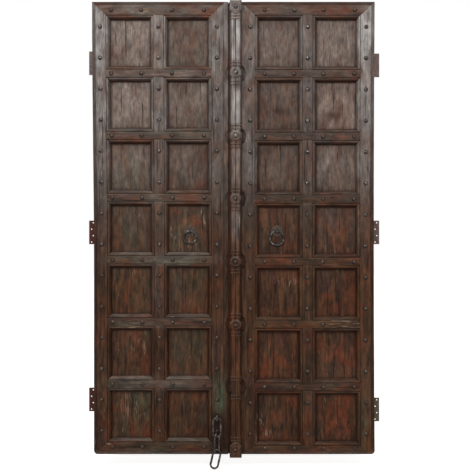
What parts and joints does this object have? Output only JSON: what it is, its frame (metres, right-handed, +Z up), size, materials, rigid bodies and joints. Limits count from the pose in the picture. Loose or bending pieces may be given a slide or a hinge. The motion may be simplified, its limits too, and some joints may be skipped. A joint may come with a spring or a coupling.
{
  "type": "pair of panelled wooden door leaves",
  "caption": "Antique pair of hinged wooden door leaves with moulded panels, iron studs, a carved astragal, ring pulls and a hanging chain hasp, on butt hinges for a frame.",
  "frame": {"origin": "centre of the rectangle of the first and third screw holes of the two middle jamb plates, on the plates' front faces, level with the backs of the leaves", "axes": "+Z up, -Y towards the viewer of the decorated front, +X to the viewer's right"},
  "size_m": [1.248, 0.0971, 1.9813],
  "materials": {
    "frame_wood": "old dark oil finish, worn and bleached towards the top",
    "panel_wood": "old dark oil finish, dry and scuffed",
    "astragal_wood": "carved, rubbed to a dull sheen",
    "stud_iron": "forged, blackened and rubbed",
    "pull_iron": "forged, blackened, greenish-grey in the hollows",
    "chain_iron": "forged, dark with rubbed edges",
    "hinge_iron": "pressed iron, rusted brown"
  },
  "bodies": {
    "jamb_plates": {"left_jamb_plates": "hinge_iron", "left_hinge_pins": "hinge_iron", "right_jamb_plates": "hinge_iron", "right_hinge_pins": "hinge_iron"},
    "left_leaf": {"left_hinge_stile": "frame_wood", "left_meeting_stile": "frame_wood", "left_top_rail": "frame_wood", "left_bottom_rail": "frame_wood", "left_rail_1": "frame_wood", "left_rail_2": "frame_wood", "left_rail_3": "frame_wood", "left_rail_4": "frame_wood", "left_rail_5": "frame_wood", "left_rail_6": "frame_wood", "left_muntin_1": "frame_wood", "left_muntin_2": "frame_wood", "left_muntin_3": "frame_wood", "left_muntin_4": "frame_wood", "left_muntin_5": "frame_wood", "left_muntin_6": "frame_wood", "left_muntin_7": "frame_wood", "left_hinge_side_panels": "panel_wood", "left_meeting_side_panels": "panel_wood", "left_studs": "stud_iron", "left_door_plates": "hinge_iron", "left_pull_rosette": "pull_iron", "left_pull_staple": "pull_iron", "chain_staple": "chain_iron"},
    "right_leaf": {"right_hinge_stile": "frame_wood", "right_meeting_stile": "frame_wood", "right_top_rail": "frame_wood", "right_bottom_rail": "frame_wood", "right_rail_1": "frame_wood", "right_rail_2": "frame_wood", "right_rail_3": "frame_wood", "right_rail_4": "frame_wood", "right_rail_5": "frame_wood", "right_rail_6": "frame_wood", "right_muntin_1": "frame_wood", "right_muntin_2": "frame_wood", "right_muntin_3": "frame_wood", "right_muntin_4": "frame_wood", "right_muntin_5": "frame_wood", "right_muntin_6": "frame_wood", "right_muntin_7": "frame_wood", "right_hinge_side_panels": "panel_wood", "right_meeting_side_panels": "panel_wood", "right_studs": "stud_iron", "right_door_plates": "hinge_iron", "right_pull_rosette": "pull_iron", "right_pull_staple": "pull_iron", "astragal": "astragal_wood", "astragal_studs": "stud_iron"},
    "left_ring": {"left_pull_ring": "pull_iron"},
    "right_ring": {"right_pull_ring": "pull_iron"},
    "upper_link": {"chain_link_1": "chain_iron"},
    "middle_link": {"chain_link_2": "chain_iron"},
    "lower_link": {"chain_link_3": "chain_iron"}
  },
  "joints": [
    {"name": "left_leaf_swing", "type": "hinge", "parent": "jamb_plates", "child": "left_leaf", "pos_m": [-0.5946, 0.0055, 0], "axis": [0, 0, 1], "range_deg": [0, 100]},
    {"name": "right_leaf_swing", "type": "hinge", "parent": "jamb_plates", "child": "right_leaf", "pos_m": [0.5874, 0.0055, 0], "axis": [0, 0, -1], "range_deg": [0, 100]},
    {"name": "left_ring_swing", "type": "hinge", "parent": "left_leaf", "child": "left_ring", "pos_m": [-0.1926, -0.0299, -0.0085], "axis": [-1, 0, 0], "range_deg": [0, 150]},
    {"name": "right_ring_swing", "type": "hinge", "parent": "right_leaf", "child": "right_ring", "pos_m": [0.1789, -0.0299, -0.0085], "axis": [-1, 0, 0], "range_deg": [0, 150]},
    {"name": "upper_link_swing", "type": "hinge", "parent": "left_leaf", "child": "upper_link", "pos_m": [-0.0761, -0.068, -0.7985], "axis": [-1, 0, 0], "range_deg": [0, 70]},
    {"name": "middle_link_twist", "type": "hinge", "parent": "upper_link", "child": "middle_link", "pos_m": [-0.0761, -0.068, -0.905], "axis": [0, 0, 1], "range_deg": [0, 60]},
    {"name": "lower_link_swing", "type": "hinge", "parent": "middle_link", "child": "lower_link", "pos_m": [-0.0761, -0.068, -0.9445], "axis": [0, 1, 0], "range_deg": [-40, 17]}
  ]
}
